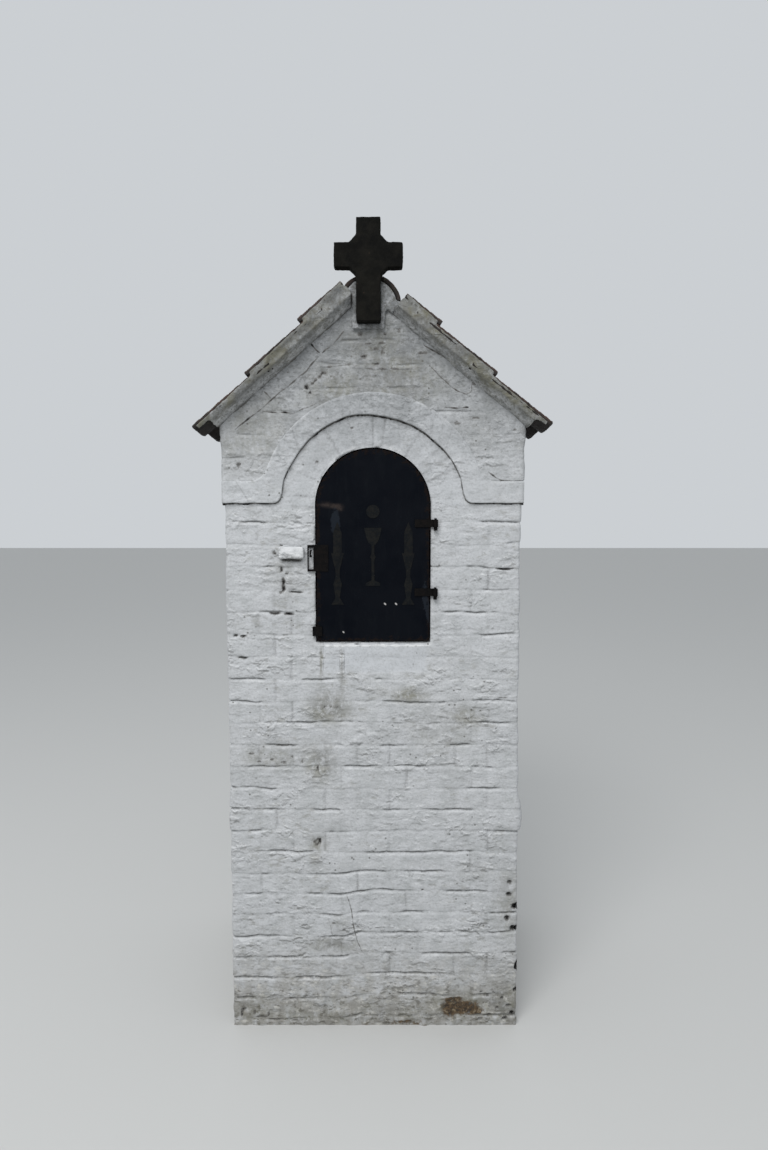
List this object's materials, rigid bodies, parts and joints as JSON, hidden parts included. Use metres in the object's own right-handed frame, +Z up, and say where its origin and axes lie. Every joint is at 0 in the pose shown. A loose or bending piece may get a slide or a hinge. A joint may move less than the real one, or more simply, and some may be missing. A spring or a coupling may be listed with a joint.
{
  "type": "wayside shrine",
  "caption": "Whitewashed brick wayside pillar shrine with an arched niche behind a hinged iron door, a hood mould, a gabled pantile roof and a stone cross.",
  "frame": {"origin": "middle of the pillar's foot, on the ground", "axes": "+Z up, the front with the door faces -Y, +X to the right as seen from the front"},
  "size_m": [1.1215, 0.8719, 2.589],
  "materials": {
    "whitewash": "matte",
    "mortar": "matte",
    "roof_tile": "matte",
    "dark_stone": "matte",
    "rusty_iron": "matte",
    "door_paint": "satin",
    "grey_sheet": "matte"
  },
  "bodies": {
    "shrine": {"pillar": "whitewash", "niche_floor": "mortar", "left_jamb": "whitewash", "right_jamb": "whitewash", "niche_back": "whitewash", "arch_ring": "whitewash", "niche_vault": "whitewash", "left_haunch": "whitewash", "right_haunch": "whitewash", "crown": "whitewash", "hood_mould": "whitewash", "front_gable": "whitewash", "back_gable": "whitewash", "front_rakes": "whitewash", "back_rakes": "whitewash", "front_verge_mortar": "mortar", "back_verge_mortar": "mortar", "left_roof_bed": "mortar", "right_roof_bed": "mortar", "left_tiles_top": "roof_tile", "left_tiles_middle": "roof_tile", "left_tiles_eave": "roof_tile", "right_tiles_top": "roof_tile", "right_tiles_middle": "roof_tile", "right_tiles_eave": "roof_tile", "ridge_bed": "mortar", "ridge_tiles": "roof_tile", "cross_seat": "mortar", "cross": "dark_stone", "keeper_block": "whitewash", "upper_pintle": "rusty_iron", "lower_pintle": "rusty_iron", "latch_staple": "rusty_iron"},
    "door": {"door_leaf": "door_paint", "door_rim": "door_paint", "upper_strap": "rusty_iron", "lower_strap": "rusty_iron", "latch_plate": "rusty_iron", "corner_lug": "rusty_iron", "chalice": "grey_sheet", "host": "grey_sheet", "candlesticks": "grey_sheet"}
  },
  "joints": [
    {"name": "door_hinge", "type": "hinge", "parent": "shrine", "child": "door", "pos_m": [0.197, -0.3755, 1.446], "axis": [0, 0, 1], "range_deg": [0, 120]}
  ]
}
